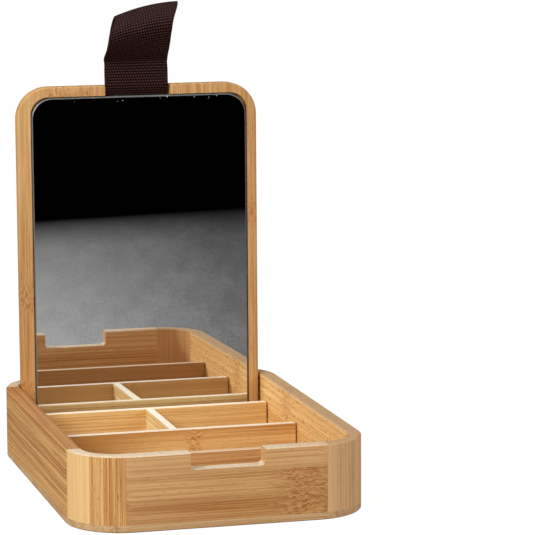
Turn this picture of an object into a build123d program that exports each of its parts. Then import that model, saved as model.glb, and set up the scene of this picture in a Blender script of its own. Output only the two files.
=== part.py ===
from build123d import *
import os
from math import radians, sqrt, tan

# Vanity box with a mirror lid, drawn with the lid open.
# Millimetres. X to the right, Y to the hinge side, Z up.
# The origin is the middle of the box's underside.

# Box: a glued frame of four walls and four corner blocks on a base board
BOX_WIDTH = 165.0
BOX_LENGTH = 234.0
BOX_HEIGHT = 41.5
WALL = 8.5
BASE_THICKNESS = 4.0
OUTER_RADIUS = 32.0
INNER_RADIUS = 18.5
BLOCK_REACH = 27.0  # outer face to the butt joint of a corner block
RIM_BEVEL = 0.7
FOOT_BEVEL = 0.6

# Lid: a flat board that fills the frame's opening, flush with the rim when shut
LID_THICKNESS = 9.0
LID_SIDE_GAP = 1.4
LID_FRONT_GAP = 1.7
LID_REAR_GAP = 0.8
LID_CORNER_RADIUS = 19.0
LID_OUTER_ROUND = 2.0
LID_INNER_ROUND = 1.0
LID_LEAN = 0.7  # degrees past upright, against the frame's rounded corners
STOP_CLEARANCE = 0.3
FOOT_CLEARANCE = 0.3  # open lid's rear edge above the base board

# Hinge: a plain steel pin each side, on which the lid turns. The pins slide up
# and down in upright slots in the rear corner blocks, so the open lid drops
# behind the rear divider and stands on the base board.
PIN_DIAMETER = 3.0
PIN_DEPTH = 5.0  # pin axis below the lid's outer face
PIN_GRIP = 4.8  # into the lid's side edge
PIN_REACH = 4.8  # into the frame, past the inner face of the side wall
PIN_CLEARANCE = 0.05
SLOT_CLEARANCE = 0.08
PIN_END_GAP = 0.3
PIN_CHAMFER = 0.4

# Mirror: a glass plate taped into a pocket in the lid's inner face
MIRROR_THICKNESS = 3.0
MIRROR_SIDE_MARGIN = 7.4
MIRROR_OFFSET = 1.0  # to the right of the lid's middle
MIRROR_FRONT_MARGIN = 6.5
MIRROR_REAR_MARGIN = 7.6
MIRROR_CORNER_RADIUS = 12.5
MIRROR_CHAMFER = 0.8
POCKET_CLEARANCE = 0.5
POCKET_CORNER_RADIUS = 10.5
TAPE_THICKNESS = 0.8
TAPE_WIDTH = 20.0
TAPE_INSET = 12.0

# Strap: webbing folded into a pull loop, both ends held under the mirror
STRAP_WIDTH = 38.0
STRAP_THICKNESS = 1.3
STRAP_TUCK = 15.0  # length of the ends under the mirror
STRAP_SIDE_CLEARANCE = 0.7
STRAP_BEND = 1.5
LOOP_NECK = 15.0  # where the two layers part, beyond the lid's front edge
LOOP_REACH = 49.0
LOOP_BULGE_AT = 31.0  # widest place of the loop, beyond the lid's front edge
LOOP_BULGE_DROP = 5.8  # its middle, below the lid's inner face when shut
LOOP_BULGE_RADIUS = 7.7
LOOP_CROWN_DROP = 3.5
LOOP_CROWN_RADIUS = 4.5
NECK_SLACK = 0.3

# Notch in the front wall that lets the strap out; the shut lid's front rests
# on the strap, and the strap on the notch's floor
NOTCH_SIDE_CLEARANCE = 1.5
NOTCH_REST_GAP = 0.6
NOTCH_UNDER_LID = 0.4
NOTCH_RADIUS = 2.5

# Dividers: three across the box and a short one between the rear two
DIVIDER_THICKNESS = 4.5
DIVIDER_UNDER_LID = 5.4
DIVIDER_END_GAP = 1.0
DIVIDER_ROUND = 0.4
LID_STAND_SPACE = 11.8  # rear divider to the mirror of the open lid
REAR_BAY = 59.6
MIDDLE_BAY = 57.1
CROSS_OFFSET = 1.0

# Derived places
opening_width = BOX_WIDTH - 2 * WALL
opening_length = BOX_LENGTH - 2 * WALL
corner_x = opening_width / 2 - INNER_RADIUS
corner_y = opening_length / 2 - INNER_RADIUS
lid_width = opening_width - 2 * LID_SIDE_GAP
lid_front = -opening_length / 2 + LID_FRONT_GAP
lid_rear = opening_length / 2 - LID_REAR_GAP
lid_inner_z = BOX_HEIGHT - LID_THICKNESS
notch_floor = lid_inner_z - NOTCH_UNDER_LID

# The open lid leans from its foot until its rounded side edges meet the rounded
# corners of the opening: the edge's round nests in the corner's round.
nest_radius = INNER_RADIUS - LID_OUTER_ROUND - STOP_CLEARANCE
nest_x = lid_width / 2 - LID_OUTER_ROUND - corner_x
stop_y = corner_y + LID_OUTER_ROUND + sqrt(nest_radius**2 - nest_x**2)
lean_slope = tan(radians(LID_LEAN))
pivot_y = stop_y - PIN_DEPTH - (BOX_HEIGHT - BASE_THICKNESS) * lean_slope

# The pins are at the top of their slots when the lid is shut, and at the foot of
# them when it stands open, its rear edge on the base board.
pin_shut_z = BOX_HEIGHT - PIN_DEPTH
foot_z = BASE_THICKNESS + FOOT_CLEARANCE
pin_open_z = foot_z + (lid_rear - pivot_y) + PIN_DEPTH * lean_slope
hinge_axis = Axis((0, pivot_y, pin_shut_z), (-1, 0, 0))
OPEN_ANGLE = 90 + LID_LEAN


def prism(width, length, radius, bottom, height, middle_y=0.0):
    """An upright plate with rounded corners."""
    outline = Pos(0, middle_y, bottom) * RectangleRounded(width, length, radius)
    return extrude(outline, height)


def block(x0, x1, y0, y1, z0, z1):
    """A plain box between six faces."""
    middle = Pos((x0 + x1) / 2, (y0 + y1) / 2, (z0 + z1) / 2)
    return middle * Box(x1 - x0, y1 - y0, z1 - z0)


def bar(x0, x1, y, z, radius):
    """A round bar along X."""
    return Pos((x0 + x1) / 2, y, z) * Rot(0, 90, 0) * Cylinder(radius, x1 - x0)


def opened(solid):
    """Turn a piece of the shut lid up, and drop it to where it stands."""
    return Pos(0, 0, pin_open_z - pin_shut_z) * solid.rotate(hinge_axis, OPEN_ANGLE)


def base_board():
    board = prism(BOX_WIDTH, BOX_LENGTH, OUTER_RADIUS, 0, BASE_THICKNESS)
    return chamfer(board.faces().sort_by(Axis.Z)[0].edges(), FOOT_BEVEL)


def pin_slots():
    """Blind upright slots in the inner faces of the rear corner blocks."""
    end = opening_width / 2 + PIN_REACH + PIN_END_GAP
    radius = PIN_DIAMETER / 2 + SLOT_CLEARANCE
    slots = block(-end, end, pivot_y - radius, pivot_y + radius, pin_open_z, pin_shut_z)
    for z in (pin_open_z, pin_shut_z):
        slots += bar(-end, end, pivot_y, z, radius)
    return slots


def frame_ring():
    """The whole frame as it is machined after gluing, notch and pin slots in it."""
    height = BOX_HEIGHT - BASE_THICKNESS
    ring = prism(BOX_WIDTH, BOX_LENGTH, OUTER_RADIUS, BASE_THICKNESS, height)
    ring -= prism(opening_width, opening_length, INNER_RADIUS, BASE_THICKNESS, height)
    ring = chamfer(ring.faces().sort_by(Axis.Z)[-1].edges(), RIM_BEVEL)

    notch_width = STRAP_WIDTH + 2 * NOTCH_SIDE_CLEARANCE
    notch_depth = BOX_HEIGHT - notch_floor
    # Twice as tall as the notch is deep, so that only its lower corners are round
    profile = RectangleRounded(notch_width, 2 * notch_depth, NOTCH_RADIUS)
    mouth = Plane.XZ.offset(BOX_LENGTH / 2) * profile
    ring -= Pos(0, 0, BOX_HEIGHT) * extrude(mouth, -2 * WALL)
    return ring - pin_slots()


def frame_pieces():
    """Saw the ring at its butt joints into four walls and four corner blocks."""
    ring = frame_ring()
    x_joint = BOX_WIDTH / 2 - BLOCK_REACH
    y_joint = BOX_LENGTH / 2 - BLOCK_REACH
    columns = {"left": (-BOX_WIDTH, -x_joint), "": (-x_joint, x_joint), "right": (x_joint, BOX_WIDTH)}
    rows = {"front": (-BOX_LENGTH, -y_joint), "": (-y_joint, y_joint), "rear": (y_joint, BOX_LENGTH)}
    pieces = {}
    for row, (y0, y1) in rows.items():
        for column, (x0, x1) in columns.items():
            if not row and not column:
                continue
            kind = "corner" if row and column else "wall"
            name = "_".join(word for word in (kind, row, column) if word)
            pieces[name] = ring & block(x0, x1, y0, y1, 0, 2 * BOX_HEIGHT)
    return pieces


def upright_board(x0, x1, y0, y1):
    """A divider standing on the base board, its top edges eased."""
    board = block(x0, x1, y0, y1, BASE_THICKNESS, lid_inner_z - DIVIDER_UNDER_LID)
    return fillet(board.faces().sort_by(Axis.Z)[-1].edges(), DIVIDER_ROUND)


def dividers():
    half = opening_width / 2 - DIVIDER_END_GAP
    rear = pivot_y - (LID_THICKNESS - PIN_DEPTH) - LID_STAND_SPACE
    middle = rear - DIVIDER_THICKNESS - REAR_BAY
    front = middle - DIVIDER_THICKNESS - MIDDLE_BAY
    pieces = {}
    for name, back in (("rear", rear), ("middle", middle), ("front", front)):
        pieces[f"divider_{name}"] = upright_board(-half, half, back - DIVIDER_THICKNESS, back)
    left = CROSS_OFFSET - DIVIDER_THICKNESS / 2
    pieces["divider_cross"] = upright_board(
        left, left + DIVIDER_THICKNESS, middle, rear - DIVIDER_THICKNESS
    )
    return pieces


def mirror_outline(growth, radius, top, depth):
    """A plate over the mirror's place, grown all round, below the height top."""
    width = lid_width - 2 * MIRROR_SIDE_MARGIN
    front = lid_front + MIRROR_FRONT_MARGIN
    rear = lid_rear - MIRROR_REAR_MARGIN
    plate = prism(
        width + 2 * growth,
        rear - front + 2 * growth,
        radius,
        top - depth,
        depth,
        (front + rear) / 2,
    )
    return Pos(MIRROR_OFFSET, 0, 0) * plate


def lid_board():
    length = lid_rear - lid_front
    middle = (lid_rear + lid_front) / 2
    board = prism(lid_width, length, LID_CORNER_RADIUS, lid_inner_z, LID_THICKNESS, middle)
    board = fillet(board.faces().sort_by(Axis.Z)[-1].edges(), LID_OUTER_ROUND)
    board = fillet(board.faces().sort_by(Axis.Z)[0].edges(), LID_INNER_ROUND)

    pocket_depth = MIRROR_THICKNESS + TAPE_THICKNESS
    board -= mirror_outline(
        POCKET_CLEARANCE, POCKET_CORNER_RADIUS, lid_inner_z + pocket_depth, pocket_depth
    )
    half = STRAP_WIDTH / 2 + STRAP_SIDE_CLEARANCE
    tuck_end = lid_front + MIRROR_FRONT_MARGIN + STRAP_TUCK + STRAP_SIDE_CLEARANCE
    groove_top = lid_inner_z + MIRROR_THICKNESS + 2 * STRAP_THICKNESS
    board -= block(-half, half, lid_front - WALL, tuck_end, lid_inner_z - WALL, groove_top)

    hole_end = lid_width / 2 - PIN_GRIP - PIN_END_GAP
    for side in (-1, 1):
        ends = sorted((side * hole_end, side * BOX_WIDTH))
        board -= bar(*ends, pivot_y, pin_shut_z, PIN_DIAMETER / 2 + PIN_CLEARANCE)
    return board


def mirror_glass():
    plate = mirror_outline(0, MIRROR_CORNER_RADIUS, lid_inner_z + MIRROR_THICKNESS, MIRROR_THICKNESS)
    return chamfer(plate.faces().sort_by(Axis.Z)[0].edges(), MIRROR_CHAMFER)


def mirror_tape():
    """Two strips of foam tape between the pocket's floor and the glass."""
    front = lid_front + MIRROR_FRONT_MARGIN + STRAP_TUCK + TAPE_INSET
    rear = lid_rear - MIRROR_REAR_MARGIN - TAPE_INSET
    outer = lid_width / 2 - MIRROR_SIDE_MARGIN - TAPE_INSET
    floor = lid_inner_z + MIRROR_THICKNESS
    strip = block(outer - TAPE_WIDTH, outer, front, rear, floor, floor + TAPE_THICKNESS)
    return Pos(MIRROR_OFFSET, 0, 0) * Compound(children=[strip, mirror(strip, Plane.YZ)])


def hinge_pin(side):
    ends = sorted(
        (side * (lid_width / 2 - PIN_GRIP), side * (opening_width / 2 + PIN_REACH))
    )
    pin = bar(*ends, pivot_y, pin_shut_z, PIN_DIAMETER / 2)
    return chamfer(pin.edges().filter_by(GeomType.CIRCLE), PIN_CHAMFER)


def strap_loop():
    """The folded webbing: two layers out from under the mirror, and a loose bight.

    The layers step down from the groove's bed to the notch's floor, so they
    stand a little proud of the lid where they leave it.
    """
    tuck_z = lid_inner_z + MIRROR_THICKNESS + STRAP_THICKNESS
    notch_z = notch_floor + NOTCH_REST_GAP + STRAP_THICKNESS
    mirror_edge = lid_front + MIRROR_FRONT_MARGIN
    neck_y = lid_front - LOOP_NECK

    course = FilletPolyline(
        (mirror_edge + STRAP_TUCK, tuck_z),
        (mirror_edge - STRAP_THICKNESS, tuck_z),
        (lid_front + STRAP_THICKNESS, notch_z),
        (neck_y, notch_z),
        radius=STRAP_BEND,
    )
    layers = trace(course, 2 * STRAP_THICKNESS)

    rounds = (
        (neck_y, notch_z, STRAP_THICKNESS + NECK_SLACK),
        (lid_front - LOOP_BULGE_AT, lid_inner_z - LOOP_BULGE_DROP, LOOP_BULGE_RADIUS),
        (
            lid_front - LOOP_REACH + LOOP_CROWN_RADIUS,
            lid_inner_z - LOOP_CROWN_DROP,
            LOOP_CROWN_RADIUS,
        ),
    )

    def bight(inset):
        """The loop seen from its open side: neck, bulge and crown, drawn round."""
        edges = [Pos(y, z) * Circle(radius - inset).edge() for y, z, radius in rounds]
        return make_hull(edges)

    side_view = layers + bight(0) - bight(STRAP_THICKNESS)
    return extrude(Plane.YZ * side_view, STRAP_WIDTH / 2, both=True)


def write(name, solid):
    export_step(solid, f"parts/{name}.step")


os.makedirs("parts", exist_ok=True)

write("base_board", base_board())
for piece_name, piece in {**frame_pieces(), **dividers()}.items():
    write(piece_name, piece)

write("lid_board", opened(lid_board()))
write("mirror_glass", opened(mirror_glass()))
write("mirror_tape", opened(mirror_tape()))
write("strap_loop", opened(strap_loop()))
write("hinge_pin_left", opened(hinge_pin(-1)))
write("hinge_pin_right", opened(hinge_pin(1)))
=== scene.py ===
from math import cos, pi, radians, sin, tan

import bpy
from mathutils import Matrix, Vector


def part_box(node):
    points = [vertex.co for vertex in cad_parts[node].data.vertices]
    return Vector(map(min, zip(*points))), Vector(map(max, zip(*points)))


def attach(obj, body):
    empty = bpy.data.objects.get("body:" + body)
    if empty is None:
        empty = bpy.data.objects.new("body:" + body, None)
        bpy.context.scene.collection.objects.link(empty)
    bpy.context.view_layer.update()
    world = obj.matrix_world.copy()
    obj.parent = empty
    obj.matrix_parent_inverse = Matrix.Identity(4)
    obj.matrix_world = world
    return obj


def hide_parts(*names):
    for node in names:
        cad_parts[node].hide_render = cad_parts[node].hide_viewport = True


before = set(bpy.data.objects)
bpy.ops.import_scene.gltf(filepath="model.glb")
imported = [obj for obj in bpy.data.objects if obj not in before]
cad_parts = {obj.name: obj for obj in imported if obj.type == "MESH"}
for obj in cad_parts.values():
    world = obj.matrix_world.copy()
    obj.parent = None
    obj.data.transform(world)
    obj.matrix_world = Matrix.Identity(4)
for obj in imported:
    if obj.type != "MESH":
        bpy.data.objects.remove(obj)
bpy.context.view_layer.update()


# Camera
# A long lens 1.7 m away, to the front left of the box and a little above it. From
# there the lid's mirror shows the inside of the box and what lies before it.

CAMERA_PLACE = (-0.3787, -1.5770, 0.3721)
CAMERA_TURN = -15.352
CAMERA_DIP = 8.749
CAMERA_ROLL = -0.238

scene = bpy.context.scene
scene.view_settings.view_transform = "Standard"

bpy.ops.object.camera_add()
camera = bpy.context.active_object
camera.name = "camera"
camera.data.sensor_width = 36.0
camera.data.lens = 194.71
camera.data.clip_end = 50.0
camera.matrix_world = (
    Matrix.Translation(CAMERA_PLACE)
    @ Matrix.Rotation(radians(CAMERA_TURN), 4, "Z")
    @ Matrix.Rotation(radians(90.0 - CAMERA_DIP), 4, "X")
    @ Matrix.Rotation(radians(CAMERA_ROLL), 4, "Z")
)
scene.camera = camera


# Floor and light
# A white sweep that keeps a faint shadow, a large soft key lamp from the front
# left, a weaker fill from the right, and a pale surround.

WHITE = (1, 1, 1, 1)
FLOOR_RADIUS = 9.0
FLOOR_LEVEL = -0.0002
FLOOR_BOUNCE = (0.26, 0.25, 0.24, 1)
FLOOR_SHADE = (0.30, 0.30, 0.30, 1)
FLOOR_GLOW = 0.84
SURROUND = (1.0, 0.985, 0.96, 1)
SURROUND_LIGHT = 0.52
LAMP_TARGET = Vector((0, 0, 0.05))

# Name, place, width, power and colour.
LAMPS = (
    ("key lamp", (-1.75, -1.1, 1.4), 0.7, 42.0, (1.0, 0.975, 0.94)),
    ("fill lamp", (1.5, -1.4, 0.9), 1.2, 15.0, (1.0, 0.99, 0.97)),
)


def put(tree, kind, values=None, **settings):
    """Adds a shader node, sets it up, and fills or links its sockets."""
    node = tree.nodes.new("ShaderNode" + kind)
    for name, value in settings.items():
        setattr(node, name, value)
    for socket, value in (values or {}).items():
        if isinstance(value, bpy.types.NodeSocket):
            tree.links.new(value, node.inputs[socket])
        else:
            node.inputs[socket].default_value = value
    return node


def calc(tree, operation, *values, clamp=False):
    """One step of arithmetic on numbers or sockets."""
    return put(tree, "Math", dict(enumerate(values)), operation=operation, use_clamp=clamp).outputs[0]


def shown_plainly(tree):
    """1 where the camera, a mirror or glass looks at a surface, 0 where light only bounces off it."""
    path = put(tree, "LightPath").outputs
    seen = calc(tree, "MAXIMUM", path["Is Camera Ray"], path["Is Glossy Ray"])
    return calc(tree, "MAXIMUM", seen, path["Is Transmission Ray"])


def either(tree, factor, first, second):
    """The first shader where a factor is 0, the second where it is 1."""
    return put(tree, "MixShader", {0: factor, 1: first.outputs[0], 2: second.outputs[0]})


def coat(tree, shader):
    """Lays a shader on the surface."""
    put(tree, "OutputMaterial", {"Surface": shader.outputs[0]})


def new_paint(name):
    """A new material with nothing in it yet, and its node tree."""
    paint = bpy.data.materials.new(name)
    paint.use_nodes = True
    paint.node_tree.nodes.clear()
    return paint, paint.node_tree


def settle(name):
    """Names the object that an operator has just added, and puts its place into its mesh."""
    bpy.ops.object.transform_apply(location=True, rotation=True, scale=True)
    piece = bpy.context.active_object
    piece.name = name
    piece.data.name = name
    return piece


bpy.ops.object.select_all(action="DESELECT")
bpy.ops.mesh.primitive_circle_add(
    vertices=96, radius=FLOOR_RADIUS, fill_type="NGON", location=(0, 0, FLOOR_LEVEL)
)
floor = settle("floor")
floor_paint, tree = new_paint("white sweep")
bounce = put(tree, "BsdfDiffuse", {"Color": FLOOR_BOUNCE})
shade = put(tree, "BsdfDiffuse", {"Color": FLOOR_SHADE})
glow = put(tree, "Emission", {"Color": WHITE, "Strength": FLOOR_GLOW})
white = put(tree, "AddShader", {0: shade.outputs[0], 1: glow.outputs[0]})
coat(tree, either(tree, shown_plainly(tree), bounce, white))
floor.data.materials.append(floor_paint)

scene.world = bpy.data.worlds.new("surround")
scene.world.use_nodes = True
tree = scene.world.node_tree
tree.nodes.clear()
ambient = put(tree, "Background", {"Color": SURROUND, "Strength": SURROUND_LIGHT})
backdrop = put(tree, "Background", {"Color": WHITE, "Strength": 1.0})
surround = either(tree, shown_plainly(tree), ambient, backdrop)
put(tree, "OutputWorld", {"Surface": surround.outputs[0]})

for name, place, width, power, colour in LAMPS:
    bpy.ops.object.light_add(type="AREA", location=place)
    lamp = bpy.context.active_object
    lamp.name = name
    lamp.rotation_euler = (LAMP_TARGET - Vector(place)).to_track_quat("-Z", "Y").to_euler()
    lamp.data.size = width
    lamp.data.energy = power
    lamp.data.color = colour


# Studio in the mirror
# What stands in front of the box and shows only in the mirror: a grey cloth on
# the table, lighter towards the left, and the dark room beyond its far edge. The
# cloth glows with painted light that fades into painted shade towards its far
# edge, and the room is a black sheet of painted shade.

ROOM_RADIUS = 5.0
ROOM_HEIGHT = 5.0
CLOTH_LEVEL = 0.0003
CLOTH_LIGHT = (0.345, 0.343, 0.342, 1)
CLOTH_DARK = (0.125, 0.125, 0.126, 1)
CLOTH_SKEW = 0.235
LIGHT_SIDE = -0.08
DARK_SIDE = 0.105
NAP_STRETCH = 0.16
MOTTLES = 42.0
MOTTLE_DEPTH = 0.9
LINT = 520.0
LINT_DEPTH = 0.5
EDGE_SKEW = 0.2
CLOTH_END = -1.10
CLOTH_IN_SHADE = -0.87
CLOTH_NEAR = -0.30
SHADE_LEVEL = 0.68
NEAR_LEVEL = 0.62
CLOTH_FOLD = 0.02
ROOM_FILL = (1.0, 0.97, 0.92, 1)
ROOM_FILL_LIGHT = 1.05


def parts(tree, vector):
    """A vector's three parts."""
    return put(tree, "SeparateXYZ", {0: vector}).outputs


def own_place(tree):
    """The place on a piece, in its own coordinates."""
    return put(tree, "TexCoord").outputs["Object"]


def ramp(tree, value, start, end, first=0.0, last=1.0, kind="LINEAR"):
    """Goes from first to last while a value goes from start to end."""
    ends = {0: value, 1: start, 2: end, 3: first, 4: last}
    return put(tree, "MapRange", ends, interpolation_type=kind).outputs[0]


def sway(tree, noise, reach):
    """A noise's swing to either side of nothing."""
    return calc(tree, "MULTIPLY", calc(tree, "SUBTRACT", noise, 0.5), reach)


def tint(tree, factor, below, above):
    """A colour between two, by a factor."""
    return put(tree, "Mix", {0: factor, 6: below, 7: above}, data_type="RGBA").outputs[2]


bpy.ops.object.select_all(action="DESELECT")
bpy.ops.mesh.primitive_circle_add(
    vertices=96, radius=ROOM_RADIUS, fill_type="NGON", location=(0, 0, CLOTH_LEVEL)
)
cloth = settle("cloth in the mirror")
bpy.ops.mesh.primitive_cylinder_add(
    vertices=96, radius=ROOM_RADIUS, depth=ROOM_HEIGHT, end_fill_type="NOTHING",
    location=(0, 0, ROOM_HEIGHT / 2)
)
dark_room = settle("dark room in the mirror")

cloth_paint, tree = new_paint("grey cloth and dark room")
rightwards, backwards, upwards = parts(tree, own_place(tree))
sideways = calc(tree, "MULTIPLY_ADD", backwards, CLOTH_SKEW, rightwards)
depth = calc(tree, "MULTIPLY_ADD", rightwards, -CLOTH_SKEW, backwards)
nap = put(tree, "CombineXYZ", {0: sideways, 1: calc(tree, "MULTIPLY", depth, NAP_STRETCH)}).outputs[0]
mottle = put(
    tree, "TexNoise", {"Vector": nap, "Scale": MOTTLES, "Detail": 7.0, "Roughness": 0.75}
).outputs[0]
lint = put(tree, "TexNoise", {"Vector": nap, "Scale": LINT, "Detail": 2.0}).outputs[0]
darkness = ramp(tree, sideways, LIGHT_SIDE, DARK_SIDE)
darkness = calc(tree, "ADD", sway(tree, mottle, MOTTLE_DEPTH), darkness, clamp=True)
darkness = calc(tree, "ADD", sway(tree, lint, LINT_DEPTH), darkness, clamp=True)
nearness = calc(tree, "MULTIPLY_ADD", rightwards, EDGE_SKEW, backwards)
far_half = ramp(tree, nearness, CLOTH_END, CLOTH_IN_SHADE, 0.0, SHADE_LEVEL)
near_half = ramp(tree, nearness, CLOTH_IN_SHADE, CLOTH_NEAR, 0.0, NEAR_LEVEL)
on_table = ramp(tree, upwards, 0.0, CLOTH_FOLD, 1.0, 0.0)
# Painted light: the cloth glows, brightest near the box and fading to painted shade at its far edge; the
# room's wall stays black.
light = calc(tree, "MULTIPLY", calc(tree, "ADD", far_half, near_half), on_table)
glow = put(tree, "Emission", {"Color": tint(tree, darkness, CLOTH_LIGHT, CLOTH_DARK), "Strength": light})
# Light that the mirror throws back on the wood comes from a pale room instead.
fill = put(tree, "Emission", {"Color": ROOM_FILL, "Strength": ROOM_FILL_LIGHT})
off_the_wood = calc(tree, "GREATER_THAN", put(tree, "LightPath").outputs["Diffuse Depth"], 0.5)
coat(tree, either(tree, off_the_wood, glow, fill))

# Both show in reflections alone, so they neither hide nor shade the box.
for card in (cloth, dark_room):
    card.data.materials.append(cloth_paint)
    for kind in ("camera", "diffuse", "transmission", "volume_scatter", "shadow"):
        setattr(card, "visible_" + kind, False)


# Front and rear walls
# Boards glued up from planed bamboo strips that run across the box, and butted
# between the corner blocks. The front one is notched for the strap.

WALL_STRIP = 0.01285
WALL_SEED = 0.689
WALL_COLOUR = (0.56, 0.275, 0.087)
TOP_SEAM = 0.0297
SEAM_BLUR = 0.0001
UP = (0, 0, 1)
ACROSS = (1, 0, 0)

# The colour that a stretch of the board drifts to, and how strongly.
TOP_STRIP = ((0.82, 0.52, 0.26), 0.2)
LEFT_END = ((0.82, 0.52, 0.26), 0.15)

# The middle of each joint of the cane, and how far it reaches from there.
FRONT_JOINT = ((0.044, -0.117, 0.0168), (0.022, 0.005, 0.0129))
REAR_JOINT = ((-0.030, 0.117, 0.0233), (0.010, 0.005, 0.0064))

# The fibres of bamboo, in ripples per metre along, across and into the grain.
WANDER = (7, 60, 60)
RIPPLE = (420, 160, 160)
BANDS = (2, 230, 230)
STREAKS = (4, 1000, 1000)
THREADS = (16, 2500, 2500)
VEINS = (1.6, 560, 560)
DASHES = (190, 1900, 1900)
SQUIGGLES = (300, 1500, 1500)
RAGS = (60, 420, 420)

# How far the fibres and the joints' ends stray, and how each kind sways the tone.
WANDER_REACH = 0.0009
RIPPLE_REACH = 0.0045
RAGGEDNESS = 1.3
STRIP_SHIFT = 3.7
STRIP_TONE = 0.4
BAND_TONE = 1.0
STREAK_TONE = 1.5
THREAD_TONE = 1.6
VEIN_TONE = -0.28

# Where each fades out and in: the first four on their noise, the glue in metres.
VEIN = (0.002, 0.014)
DASH = (0.60, 0.72)
SQUIGGLE = (0.32, 0.62)
JOINT_END = (0.3, 1.05)
GLUE_LINE = (0.00008, 0.00034)

# How far red, green and blue move in the lightest and in the dark fibres.
LIGHTER = (0.28, 0.55, 1.05)
DARKER = (0.30, 0.46, 0.62)
DARKEST = -1.7
WAVY_LIGHT = 0.45
WAVY_SHARE = 0.78
DASH_DEPTH = 0.4
WAVY_HEIGHT = 0.8
WOOD_RELIEF = 0.00008
WOOD_ROUGHNESS = (0.6, 0.42)


def new_group(name, takes, gives):
    """A shader node group with named sockets; returns its tree, what it is given and what it gives."""
    group = bpy.data.node_groups.new(name, "ShaderNodeTree")
    for socket, kind in takes:
        group.interface.new_socket(socket, in_out="INPUT", socket_type="NodeSocket" + kind)
    for socket, kind in gives:
        group.interface.new_socket(socket, in_out="OUTPUT", socket_type="NodeSocket" + kind)
    return group, group.nodes.new("NodeGroupInput").outputs, group.nodes.new("NodeGroupOutput").inputs


def stretched_noise(tree, place, ripples, detail):
    """Noise drawn out along the grain."""
    spots = [calc(tree, "MULTIPLY", value, scale) for value, scale in zip(place, ripples)]
    vector = put(tree, "CombineXYZ", dict(enumerate(spots))).outputs[0]
    look = {"Vector": vector, "Scale": 1.0, "Detail": detail, "Roughness": 0.55}
    return put(tree, "TexNoise", look).outputs[0]


def step(tree, value, low, high):
    """A soft step from 0 below low to 1 above high."""
    return ramp(tree, value, low, high, kind="SMOOTHSTEP")


def without(tree, share):
    """What is left of the whole when a share is taken."""
    return calc(tree, "SUBTRACT", 1.0, share)


# The ragged patch round one joint of the cane.
cane_joint, given, gives = new_group(
    "cane joint", [("Place", "Vector"), ("Centre", "Vector"), ("Size", "Vector")], [("Joint", "Float")]
)
ragged = stretched_noise(cane_joint, parts(cane_joint, given["Place"]), RAGS, 3.0)
away = put(cane_joint, "VectorMath", {0: given["Place"], 1: given["Centre"]}, operation="SUBTRACT").outputs[0]
away = put(cane_joint, "VectorMath", {0: away, 1: given["Size"]}, operation="DIVIDE").outputs[0]
away = put(cane_joint, "VectorMath", {0: away}, operation="ABSOLUTE").outputs[0]
lengthways, across, deep = parts(cane_joint, away)
lengthways = calc(cane_joint, "ADD", lengthways, sway(cane_joint, ragged, RAGGEDNESS))
in_strip = calc(cane_joint, "LESS_THAN", calc(cane_joint, "MAXIMUM", across, deep), 1.0)
near = without(cane_joint, step(cane_joint, lengthways, *JOINT_END))
cane_joint.links.new(calc(cane_joint, "MULTIPLY", near, in_strip), gives["Joint"])

# Strips side by side, each of its own tone, with fibres that run on through all
# their depth. Tone goes from dark to light; flecks are short dark dashes.
strips, given, gives = new_group(
    "bamboo strips",
    [("Place", "Vector")] + [(name, "Float") for name in ("Strip Width", "Seed", "Streaks", "Joint")],
    [(name, "Float") for name in ("Tone", "Fleck", "Seam", "Squiggle", "Height")],
)
along, across, deep = parts(strips, given["Place"])
strip = calc(strips, "ADD", calc(strips, "DIVIDE", across, given["Strip Width"]), given["Seed"])
number = calc(strips, "FLOOR", strip)
strip_chance = put(strips, "TexWhiteNoise", {"W": number}, noise_dimensions="1D").outputs["Value"]
wander = sway(strips, stretched_noise(strips, (along, across, deep), WANDER, 1.0), WANDER_REACH)
ripple = sway(strips, stretched_noise(strips, (along, across, deep), RIPPLE, 2.0), RIPPLE_REACH)
bent = calc(strips, "ADD", across, calc(strips, "MULTIPLY_ADD", ripple, given["Joint"], wander))
shifted = calc(strips, "MULTIPLY_ADD", strip_chance, STRIP_SHIFT, calc(strips, "ADD", along, given["Seed"]))
fibre = (shifted, bent, deep)
bands = stretched_noise(strips, fibre, BANDS, 2.0)
streaks = stretched_noise(strips, fibre, STREAKS, 2.0)
threads = stretched_noise(strips, fibre, THREADS, 2.0)
vein = calc(strips, "ABSOLUTE", sway(strips, stretched_noise(strips, fibre, VEINS, 1.0), 1.0))
tone = sway(strips, strip_chance, STRIP_TONE)
for noise, reach in ((bands, BAND_TONE), (streaks, STREAK_TONE), (threads, THREAD_TONE)):
    tone = calc(strips, "ADD", tone, sway(strips, noise, reach))
tone = calc(strips, "MULTIPLY_ADD", without(strips, step(strips, vein, *VEIN)), VEIN_TONE, tone)
tone = calc(strips, "MULTIPLY_ADD", tone, given["Streaks"], 0.5, clamp=True)
dashes = step(strips, stretched_noise(strips, fibre, DASHES, 1.0), *DASH)
squiggle = step(strips, stretched_noise(strips, fibre, SQUIGGLES, 3.0), *SQUIGGLE)
within = calc(strips, "FRACT", strip)
from_edge = calc(strips, "MINIMUM", within, without(strips, within))
from_edge = calc(strips, "MULTIPLY", from_edge, given["Strip Width"])
height = calc(strips, "SUBTRACT", streaks, calc(strips, "MULTIPLY", dashes, DASH_DEPTH))
wavy_height = calc(strips, "MULTIPLY", calc(strips, "MULTIPLY", squiggle, given["Joint"]), WAVY_HEIGHT)
strips.links.new(tone, gives["Tone"])
strips.links.new(dashes, gives["Fleck"])
strips.links.new(without(strips, step(strips, from_edge, *GLUE_LINE)), gives["Seam"])
strips.links.new(squiggle, gives["Squiggle"])
strips.links.new(calc(strips, "ADD", height, wavy_height), gives["Height"])


def shade_of(middle, spread):
    """A lighter, or with a negative spread a darker, shade of a wood's middle colour."""
    pulls = LIGHTER if spread > 0 else DARKER
    return [part * (1 + pull * spread) for part, pull in zip(middle, pulls)] + [1]


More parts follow.
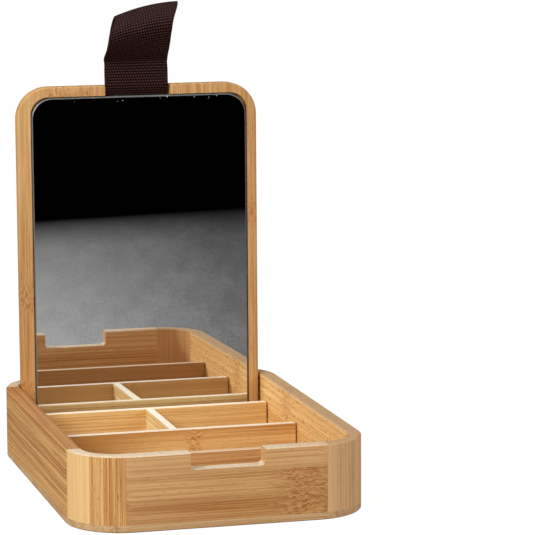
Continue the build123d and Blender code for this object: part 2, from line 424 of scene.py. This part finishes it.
def bamboo(name, grain, sideways, strip_width, seed, middle, streaks=1.0, flecks=0.3, seams=0.3, joints=()):
    """Paints bamboo whose strips run along the grain and lie side by side sideways.

    Returns the material, its tree, and the sockets for colour and height to build on.
    """
    paint, tree = new_paint(name)
    turn = Matrix((grain, sideways, Vector(grain).cross(sideways)))
    place = put(tree, "Mapping", {"Vector": own_place(tree), "Rotation": turn.to_euler()}).outputs[0]
    wood = {"Place": place, "Strip Width": strip_width, "Seed": seed, "Streaks": streaks}
    for centre, reach in joints:
        reach = [abs(part) for part in turn @ Vector(reach)]
        where = {"Place": place, "Centre": turn @ Vector(centre), "Size": reach}
        patch = put(tree, "Group", where, node_tree=cane_joint).outputs["Joint"]
        wood["Joint"] = calc(tree, "MAXIMUM", patch, wood["Joint"]) if "Joint" in wood else patch
    board = put(tree, "Group", wood, node_tree=strips).outputs
    darkest = shade_of(middle, DARKEST)
    colour = tint(tree, board["Tone"], shade_of(middle, -1.0), shade_of(middle, 1.0))
    if joints:
        wavy = tint(tree, board["Squiggle"], darkest, shade_of(middle, WAVY_LIGHT))
        colour = tint(tree, calc(tree, "MULTIPLY", wood["Joint"], WAVY_SHARE), colour, wavy)
    colour = tint(tree, calc(tree, "MULTIPLY", board["Fleck"], flecks), colour, darkest)
    colour = tint(tree, calc(tree, "MULTIPLY", board["Seam"], seams), colour, darkest)
    return paint, tree, colour, board["Height"]


def oil(tree, colour, height):
    """Finishes bamboo as satin oiled wood, with its fibres just felt."""
    bump = put(tree, "Bump", {"Height": height, "Distance": WOOD_RELIEF, "Strength": 0.6})
    skin = put(tree, "BsdfPrincipled", {
        "Base Color": colour,
        "Roughness": ramp(tree, height, 0.0, 1.0, *WOOD_ROUGHNESS),
        "Specular IOR Level": 0.3,
        "Normal": bump.outputs[0],
    })
    coat(tree, skin)


def dress(paint, *names):
    """Gives CAD pieces their finish."""
    for name in names:
        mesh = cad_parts[name].data
        mesh.materials.clear()
        mesh.materials.append(paint)


def drift(tree, colour, towards, strength, value, start, end):
    """Lets a board's colour drift towards another by a strength, while a value goes from start to end."""
    share = calc(tree, "MULTIPLY", step(tree, value, start, end), strength)
    return tint(tree, share, colour, (*towards, 1))


def own_normal(tree):
    """The way a surface faces, in its piece's own directions, so that it turns with the lid."""
    facing = put(tree, "NewGeometry").outputs["True Normal"]
    turned = {"vector_type": "NORMAL", "convert_from": "WORLD", "convert_to": "OBJECT"}
    return put(tree, "VectorTransform", {0: facing}, **turned).outputs[0]


# The frame's top and the floor of its notch are planed after gluing. The cutter
# leaves them paler than the faces, with a fine slanting hatch; part of that
# paleness is painted sheen off the hatch.
RIM_PALE = (0.90, 0.745, 0.545)
RIM_REACH = (0.0110, 0.0100)
HATCH = (160, 1900, 70)
HATCH_EDGE = (0.36, 0.64)
HATCH_SLANT = 0.8
HATCH_SHADE = 0.68
FACES_UP = (0.35, 0.8)

# From the left to the right the painted sheen on the rim of the front and rear
# walls fades, so that the rim turns browner.
RIM_SHEEN_FADES = (0.020, 0.056)
RIM_COVER = (0.9, 0.45)

frame_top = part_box("wall_rear")[1].z
planed_rim, given, gives = new_group(
    "planed rim", [("Place", "Vector"), ("Normal", "Vector")], [("Rim", "Float"), ("Hatch", "Float")]
)
rightwards, backwards, upwards = parts(planed_rim, given["Place"])
slant = calc(planed_rim, "MULTIPLY_ADD", backwards, HATCH_SLANT, rightwards)
level = calc(planed_rim, "MULTIPLY_ADD", rightwards, -HATCH_SLANT, backwards)
hatch = stretched_noise(planed_rim, (level, slant, upwards), HATCH, 2.0)
faces_up = step(planed_rim, parts(planed_rim, given["Normal"])["Z"], *FACES_UP)
high_up = step(planed_rim, upwards, frame_top - RIM_REACH[0], frame_top - RIM_REACH[1])
planed_rim.links.new(calc(planed_rim, "MULTIPLY", faces_up, high_up), gives["Rim"])
planed_rim.links.new(step(planed_rim, hatch, *HATCH_EDGE), gives["Hatch"])


def plane(tree, colour, cover, pale=RIM_PALE):
    """Lays the planed rim over a frame piece's own colour."""
    rim = put(tree, "Group", {"Place": own_place(tree), "Normal": own_normal(tree)}, node_tree=planed_rim)
    low = [HATCH_SHADE * part for part in pale]
    planed = tint(tree, rim.outputs["Hatch"], (*low, 1), (*pale, 1))
    return tint(tree, calc(tree, "MULTIPLY", rim.outputs["Rim"], cover), colour, planed)


for name, seed, joint in (("wall_front", 0, FRONT_JOINT), ("wall_rear", 3, REAR_JOINT)):
    paint, tree, colour, height = bamboo(
        name.replace("_", " "), ACROSS, UP, WALL_STRIP, seed + WALL_SEED, WALL_COLOUR,
        flecks=0.35, seams=0.2, joints=[joint]
    )
    rightwards, _, upwards = parts(tree, own_place(tree))
    colour = drift(tree, colour, *TOP_STRIP, upwards, TOP_SEAM - SEAM_BLUR, TOP_SEAM + SEAM_BLUR)
    colour = drift(tree, colour, *LEFT_END, rightwards, 0.0, -0.055)
    # Painted sheen over the planed rim, fading towards the right.
    rim_sheen_share = ramp(tree, rightwards, *RIM_SHEEN_FADES, *RIM_COVER)
    oil(tree, plane(tree, colour, rim_sheen_share), height)
    dress(paint, name)


# Side walls
# The same stock stood on edge, so that narrow light and dark bands run the length
# of the box. The right wall is cut from a paler and more freckled cane.

BACK = (0, 1, 0)
SIDE_STRIP = 0.0042
SIDE_SEAMS = 0.45
# The rim's browner colour where no painted sheen lies on it, for the right wall and the right blocks.
RIM_WITHOUT_SHEEN = (0.59, 0.38, 0.215)
RIGHT_JOINT = ((0.074, 0.032, 0.033), (0.010, 0.011, 0.009))

# Name, seed, colour, streaks, flecks, joints, and the rim's colour and cover.
SIDES = (
    ("wall_left", 5.1, (0.60, 0.285, 0.066), 1.9, 0.4, [], RIM_PALE, 0.08),
    ("wall_right", 7.7, (0.79, 0.465, 0.158), 0.5, 0.85, [RIGHT_JOINT], RIM_WITHOUT_SHEEN, 0.85),
)

for name, seed, middle, streaks, flecks, joints, rim, cover in SIDES:
    paint, tree, colour, height = bamboo(
        name.replace("_", " "), BACK, UP, SIDE_STRIP, seed, middle, streaks, flecks, SIDE_SEAMS, joints
    )
    oil(tree, plane(tree, colour, cover, rim), height)
    dress(paint, name)


# Corner blocks
# Solid blocks of three upright strips, cut round outside and inside and glued
# between the walls. The outermost strip at the left is the palest of the box,
# partly its own colour and partly a painted highlight where the key lamp falls.

BLOCK_STRIP = 0.0091
BLOCK_SEAM = 0.0734
OUTERMOST_STRIP_HIGHLIGHT = ((1.0, 0.70, 0.325), 0.6)
HOLLOW_SIDE_SHADE = ((0.52, 0.255, 0.085), 0.6)

# Side, colour, streaks, flecks, and the rim's colour and cover.
BLOCKS = (
    ("left", (0.65, 0.325, 0.098), 1.3, 0.5, RIM_PALE, 0.9),
    ("right", (0.72, 0.405, 0.170), 0.55, 0.25, RIM_WITHOUT_SHEEN, 0.75),
)

seed = BLOCK_SEAM / BLOCK_STRIP % 1
for end in ("front", "rear"):
    for side, middle, streaks, flecks, rim, cover in BLOCKS:
        paint, tree, colour, height = bamboo(
            f"corner block {end} {side}", UP, ACROSS, BLOCK_STRIP, seed, middle, streaks, flecks, 0.5
        )
        place = own_place(tree)
        if side == "left":
            leftwards = calc(tree, "MULTIPLY", parts(tree, place)["X"], -1.0)
            seam = (BLOCK_SEAM - SEAM_BLUR, BLOCK_SEAM + SEAM_BLUR)
            # The outermost strip: its own pale colour and a painted highlight.
            colour = drift(tree, colour, *OUTERMOST_STRIP_HIGHLIGHT, leftwards, *seam)
        else:
            # The hollow side, which faces the middle of the box, is darker: painted shade.
            outward = put(tree, "VectorMath", {0: own_normal(tree), 1: place}, operation="DOT_PRODUCT")
            colour = drift(tree, colour, *HOLLOW_SIDE_SHADE, outward.outputs["Value"], -0.005, -0.03)
        oil(tree, plane(tree, colour, cover, rim), height)
        dress(paint, f"corner_{end}_{side}")
        seed += 3


# Base board
# One thin board glued under the frame and flush with it, so that its edge shows
# as a paler line round the foot.

BASE_STRIP = 0.018
BASE_COLOUR = (0.60, 0.355, 0.150)

paint, tree, colour, height = bamboo(
    "base board", ACROSS, BACK, BASE_STRIP, 1.4, BASE_COLOUR, streaks=0.7, flecks=0.25
)
oil(tree, colour, height)
dress(paint, "base_board")


# Dividers
# Thin boards that stand on the base board. Their top edges are sanded and much
# paler than their faces, and the front one's is the least so.

DIVIDER_STRIP = 0.011
DIVIDER_TOP = (0.96, 0.88, 0.74, 1)
SANDED_UP = (0.3, 0.8)
DIVIDER_JOINT = ((0.0127, 0.008, 0.0176), (0.006, 0.01, 0.0095))
MIDDLE_LEFT_SHADOW = ((0.44, 0.20, 0.045), 0.8)
FRONT_REAR_SHADE = ((0.30, 0.147, 0.047), 0.6)
MIDDLE_REAR_SHADE = ((0.57, 0.365, 0.158), 0.6)

# Name, grain, colour, joints, how far the top is sanded, and the painted shade that the rear face drifts to.
DIVIDERS = (
    ("divider_front", ACROSS, (0.56, 0.275, 0.088), [], 0.4, FRONT_REAR_SHADE),
    ("divider_middle", ACROSS, (0.71, 0.385, 0.120), [DIVIDER_JOINT], 0.85, MIDDLE_REAR_SHADE),
    ("divider_rear", ACROSS, (0.74, 0.435, 0.145), [], 0.85, None),
    ("divider_cross", BACK, (0.83, 0.60, 0.250), [], 1.0, None),
)

for number, (name, grain, middle, joints, sanded, rear_shade) in enumerate(DIVIDERS):
    paint, tree, colour, height = bamboo(
        name.replace("_", " "), grain, UP, DIVIDER_STRIP, number * 1.7 + 0.4, middle, 0.8, joints=joints
    )
    _, backwards, upwards = parts(tree, own_normal(tree))
    # The middle one's left end is darkened by a painted shadow of the left wall.
    if name == "divider_middle":
        rightwards = parts(tree, own_place(tree))["X"]
        colour = drift(tree, colour, *MIDDLE_LEFT_SHADOW, rightwards, 0.0, -0.05)
    # The rear faces, turned away from the lamps, take painted shade.
    if rear_shade:
        colour = drift(tree, colour, *rear_shade, backwards, 0.5, 0.9)
    top = calc(tree, "MULTIPLY", step(tree, upwards, *SANDED_UP), sanded)
    oil(tree, tint(tree, top, colour, DIVIDER_TOP), height)
    dress(paint, name)


# Lid
# One flat board with its strips running front to back, rounded over outside and
# eased inside, with the mirror's pocket and the strap's groove cut in it.

LID_STRIP = 0.0268
LID_SEAM = -0.0019
LID_COLOUR = (0.58, 0.300, 0.098)
LID_OUTSIDE = ((1.0, 0.76, 0.37), 0.42)
LID_UPPER_LEFT = ((0.95, 0.62, 0.27), 0.25)
LID_LOWER_LEFT = ((0.48, 0.19, 0.035), 0.30)
LID_RIGHT_STRIP = ((0.42, 0.20, 0.06), 0.25)
LID_JOINT_SIZE = (0.0134, 0.012, 0.011)

# Each joint's strip, counted from the middle seam, and its height on the open lid.
LID_JOINTS = (
    (-2.5, 0.036), (-2.5, 0.094), (-1.5, 0.209), (-0.5, 0.190), (0.5, 0.088), (1.5, 0.158), (2.5, 0.140)
)

board_middle = sum(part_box("lid_board"), Vector()).y / 2
joint_places = [(LID_SEAM + strip * LID_STRIP, board_middle, level) for strip, level in LID_JOINTS]
joints = [(place, LID_JOINT_SIZE) for place in joint_places]
paint, tree, colour, height = bamboo(
    "lid board", UP, ACROSS, LID_STRIP, 8 - LID_SEAM / LID_STRIP, LID_COLOUR, seams=0.4, joints=joints
)
rightwards, _, upwards = parts(tree, own_place(tree))
outer_seam = 2 * LID_STRIP
outer = step(tree, calc(tree, "ABSOLUTE", rightwards), outer_seam - SEAM_BLUR, outer_seam + SEAM_BLUR)
leftmost = calc(tree, "MULTIPLY", outer, calc(tree, "LESS_THAN", rightwards, 0.0))
rightmost = calc(tree, "SUBTRACT", outer, leftmost)
high_left = calc(tree, "MULTIPLY", leftmost, upwards)
low_left = calc(tree, "MULTIPLY", leftmost, calc(tree, "SUBTRACT", 0.2, upwards))
outward = parts(tree, own_normal(tree))["Y"]
colour = drift(tree, colour, *LID_UPPER_LEFT, high_left, 0.09, 0.18)
colour = drift(tree, colour, *LID_LOWER_LEFT, low_left, 0.10, 0.16)
colour = drift(tree, colour, *LID_RIGHT_STRIP, rightmost, 0.0, 1.0)
colour = drift(tree, colour, *LID_OUTSIDE, outward, 0.1, 0.9)
oil(tree, colour, height)
dress(paint, "lid_board")


# Tape behind the mirror
# White closed-cell foam with glue on both sides, which holds the glass in the
# lid's pocket. The glass hides nearly all of it.

TAPE_CELLS = 2500.0
TAPE_LOW = (0.66, 0.66, 0.64, 1)
TAPE_HIGH = (0.80, 0.80, 0.78, 1)

tape_paint, tree = new_paint("foam tape")
cells = put(tree, "TexVoronoi", {"Vector": own_place(tree), "Scale": TAPE_CELLS}).outputs["Distance"]
bump = put(tree, "Bump", {"Height": cells, "Distance": 0.0001, "Strength": 0.5})
coat(tree, put(tree, "BsdfPrincipled", {
    "Base Color": tint(tree, cells, TAPE_LOW, TAPE_HIGH),
    "Roughness": 0.8,
    "Normal": bump.outputs[0],
}))
dress(tape_paint, "mirror_tape")


# Mirror
# Silvered float glass with a ground edge, stuck on the tape in the lid's pocket.
# Specks of grinding dust cling along its upper edge.

GLASS = (0.87, 0.88, 0.88, 1)
GROUND_EDGE = (0.21, 0.225, 0.225, 1)
DUST = (0.85, 0.86, 0.88, 1)
DUST_BAND = (0.0032, 0.0026)
DUST_GRAINS = 205.0
DUST_GRAIN_SIZE = 0.075
TURNS_AWAY = (-0.98, -0.9)

mirror_paint, tree = new_paint("mirror")
rightwards, _, upwards = parts(tree, own_place(tree))
on_glass = put(tree, "CombineXYZ", {0: rightwards, 1: upwards}).outputs[0]
dust = put(tree, "TexVoronoi", {"Vector": on_glass, "Scale": DUST_GRAINS}, voronoi_dimensions="2D").outputs
chance = put(tree, "TexWhiteNoise", {"Vector": dust["Position"]}).outputs["Value"]
grain_size = ramp(tree, chance, 0.25, 1.0, 0.0, DUST_GRAIN_SIZE)
mirror_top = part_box("mirror_glass")[1].z
near_top = step(tree, upwards, mirror_top - DUST_BAND[0], mirror_top - DUST_BAND[1])
speck = calc(tree, "MULTIPLY", calc(tree, "LESS_THAN", dust["Distance"], grain_size), near_top)
ground = step(tree, parts(tree, own_normal(tree))["Y"], *TURNS_AWAY)
matt = calc(tree, "MAXIMUM", ground, speck)
coat(tree, put(tree, "BsdfPrincipled", {
    "Base Color": tint(tree, speck, tint(tree, ground, GLASS, GROUND_EDGE), DUST),
    "Metallic": ramp(tree, matt, 0.0, 1.0, 1.0, 0.4),
    "Roughness": ramp(tree, matt, 0.0, 1.0, 0.012, 0.45),
}))
dress(mirror_paint, "mirror_glass")


# Pull strap
# One length of dark ribbed webbing. Both ends are stuck down under the mirror,
# and the bight stands out beyond the lid's edge with its crown pulled askew.

STRAP_WIDTH = 0.038
STRAP_THICKNESS = 0.00125
SELVEDGE_ROUND = 0.0004
COLUMNS = 6
MILLIMETRE = 0.001
LID_LEAN = radians(0.7)

# Each place along the strap, in millimetres: how far it stands out from the
# mirror's face, its height over the lid's edge, its shift to the right, how far
# its right side is raised, and how far its middle is arched.
STRAP_COURSE = (
    (-3.7, -21.0, -0.3, 0.0, 0.0),
    (-3.7, -12.0, -0.3, 0.0, 0.0),
    (-3.7, -7.0, -0.3, 0.0, 0.0),
    (-3.7, -5.8, -0.3, 0.0, 0.0),
    (-0.8, -1.2, -0.4, 0.0, 0.0),
    (-0.8, 2.0, -0.5, 0.0, 0.0),
    (-0.8, 8.0, -0.5, 0.0, 0.0),
    (-0.8, 12.6, -0.7, 0.1, 0.0),
    (-0.7, 14.8, -1.2, 0.2, 0.0),
    (1.2, 16.6, -1.5, 0.5, 0.0),
    (4.6, 19.8, -1.4, 1.4, 0.2),
    (8.8, 24.0, -1.1, 2.6, 0.5),
    (12.2, 28.2, -0.8, 3.4, 0.8),
    (13.5, 32.4, -0.5, 3.8, 1.1),
    (12.2, 36.2, 0.8, 4.0, 1.4),
    (8.8, 39.6, 2.8, 4.1, 1.6),
    (5.2, 42.4, 4.6, 4.2, 1.7),
    (2.0, 44.4, 5.6, 4.2, 1.8),
    (-0.8, 44.4, 5.8, 4.0, 1.8),
    (-2.8, 41.8, 5.0, 3.6, 1.5),
    (-3.4, 36.5, 3.9, 2.6, 1.0),
    (-3.1, 29.0, 2.7, 1.4, 0.5),
    (-2.6, 22.0, 1.5, 0.5, 0.1),
    (-2.15, 16.5, -0.2, 0.0, 0.0),
    (-2.12, 11.0, -0.7, 0.0, 0.0),
    (-2.12, 2.0, -0.5, 0.0, 0.0),
    (-2.12, -1.2, -0.4, 0.0, 0.0),
    (-5.0, -5.8, -0.3, 0.0, 0.0),
    (-5.0, -7.0, -0.3, 0.0, 0.0),
    (-5.0, -12.0, -0.3, 0.0, 0.0),
    (-5.0, -21.0, -0.3, 0.0, 0.0),
)

strap_up = Vector((0, sin(LID_LEAN), cos(LID_LEAN)))
strap_out = Vector((0, -cos(LID_LEAN), sin(LID_LEAN)))
glass_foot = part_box("mirror_glass")[0]
lid_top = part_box("lid_board")[1].z
lid_edge = Vector((0, glass_foot.y + (lid_top - glass_foot.z) * tan(LID_LEAN), lid_top))

bpy.ops.object.select_all(action="DESELECT")
bpy.ops.mesh.primitive_grid_add(
    x_subdivisions=COLUMNS, y_subdivisions=len(STRAP_COURSE) - 1, size=1, calc_uvs=True, location=(0, 0, 0)
)
strap = settle("pull_strap")

# The flat grid is bent along the course, row by row.
row_starts = []
length = 0.0
for row, (stands_out, height, shift, raised, arched) in enumerate(STRAP_COURSE):
    if row:
        before = STRAP_COURSE[row - 1]
        length += MILLIMETRE * Vector((stands_out - before[0], height - before[1])).length
    row_starts.append(length)
    for column in range(COLUMNS + 1):
        side = 2 * column / COLUMNS - 1
        lift = height + raised * side + arched * (1 - side * side)
        place = lid_edge + MILLIMETRE * (strap_out * stands_out + strap_up * lift)
        place.x = side * STRAP_WIDTH / 2 + MILLIMETRE * shift
        strap.data.vertices[row * (COLUMNS + 1) + column].co = place

# On its own map the strap lies flat, one unit to its width.
weave_map = strap.data.uv_layers.active.data
for loop in strap.data.loops:
    row, column = divmod(loop.vertex_index, COLUMNS + 1)
    weave_map[loop.index].uv = (column / COLUMNS, row_starts[row] / STRAP_WIDTH)

bends = strap.modifiers.new("rounded bends", "SUBSURF")
bends.levels = bends.render_levels = 3
thickness = strap.modifiers.new("webbing thickness", "SOLIDIFY")
thickness.thickness = STRAP_THICKNESS
thickness.offset = 0.0
selvedge = strap.modifiers.new("round selvedge", "BEVEL")
selvedge.width = SELVEDGE_ROUND
selvedge.segments = 2
selvedge.limit_method = "ANGLE"
selvedge.angle_limit = radians(60)
for modifier in (bends, thickness, selvedge):
    bpy.ops.object.modifier_apply(modifier=modifier.name)
bpy.ops.object.shade_smooth_by_angle(angle=radians(50))
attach(strap, "lid")
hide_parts("strap_loop")

# Ribs run across the webbing, so many to a stretch as long as it is wide. Each is
# a row of yarns, set a little further over than in the rib before.
RIBS = 23.0
YARNS = 24.0
YARN_STEP = 0.36
BEAD_SHARE = 0.7
WEBBING_HIGH = (0.098, 0.031, 0.028, 1)
WEBBING_GROOVE_SHADE = (0.0015, 0.0005, 0.0005, 1)
YARN_LIT = (0.34, 1.0)
WEAVE_RELIEF = 0.0003
FILAMENT_RELIEF = 0.12
FILAMENTS = (60, 420, 1)
FADED_PATCHES = (5, 9, 1)

# How much the filaments and the faded patches add, and what they add it to.
FILAMENT_LIGHT = (1.2, 0.30)
PATCH_LIGHT = (0.7, 0.65)

webbing, tree = new_paint("ribbed webbing")
over, along, _ = parts(tree, put(tree, "TexCoord").outputs["UV"])
rib = calc(tree, "MULTIPLY", along, RIBS)
yarn = calc(tree, "MULTIPLY_ADD", calc(tree, "FLOOR", rib), YARN_STEP, calc(tree, "MULTIPLY", over, YARNS))
rib_round = calc(tree, "SINE", calc(tree, "MULTIPLY", calc(tree, "FRACT", rib), pi))
bead = calc(tree, "SINE", calc(tree, "MULTIPLY", calc(tree, "FRACT", yarn), pi))
swell = calc(tree, "MULTIPLY", rib_round, calc(tree, "MULTIPLY_ADD", bead, BEAD_SHARE, 1 - BEAD_SHARE))
filaments = stretched_noise(tree, (along, over, 0.0), FILAMENTS, 3.0)
patchy = stretched_noise(tree, (over, along, 0.0), FADED_PATCHES, 2.0)
filament_light = calc(tree, "MULTIPLY_ADD", filaments, *FILAMENT_LIGHT)
patch_light = calc(tree, "MULTIPLY_ADD", patchy, *PATCH_LIGHT)
# Only the yarns' crowns show the webbing's brown; the grooves between them are painted near black, painted
# shade over its own dark dye.
shown = calc(tree, "MULTIPLY", step(tree, swell, *YARN_LIT), filament_light)
shown = calc(tree, "MULTIPLY", shown, patch_light, clamp=True)
relief = calc(tree, "MULTIPLY_ADD", filaments, FILAMENT_RELIEF, swell)
bump = put(tree, "Bump", {"Height": relief, "Distance": WEAVE_RELIEF, "Strength": 0.8})
coat(tree, put(tree, "BsdfPrincipled", {
    "Base Color": tint(tree, shown, WEBBING_GROOVE_SHADE, WEBBING_HIGH),
    "Roughness": 0.6,
    "Specular IOR Level": 0.12,
    "Normal": bump.outputs[0],
}))
strap.data.materials.clear()
strap.data.materials.append(webbing)


# Hinge pins
# Short drawn steel rods on which the lid turns; their outer ends slide in upright
# slots in the rear blocks. The die has left faint marks along them.

DIE_MARKS = (40, 4000, 4000)
STEEL_DARK = (0.42, 0.42, 0.43, 1)
STEEL_LIGHT = (0.60, 0.60, 0.61, 1)

pin_paint, tree = new_paint("steel pin")
drawn = stretched_noise(tree, parts(tree, own_place(tree)), DIE_MARKS, 2.0)
coat(tree, put(tree, "BsdfPrincipled", {
    "Base Color": tint(tree, drawn, STEEL_DARK, STEEL_LIGHT),
    "Metallic": 1.0,
    "Roughness": ramp(tree, drawn, 0.0, 1.0, 0.22, 0.38),
}))
dress(pin_paint, "hinge_pin_left", "hinge_pin_right")
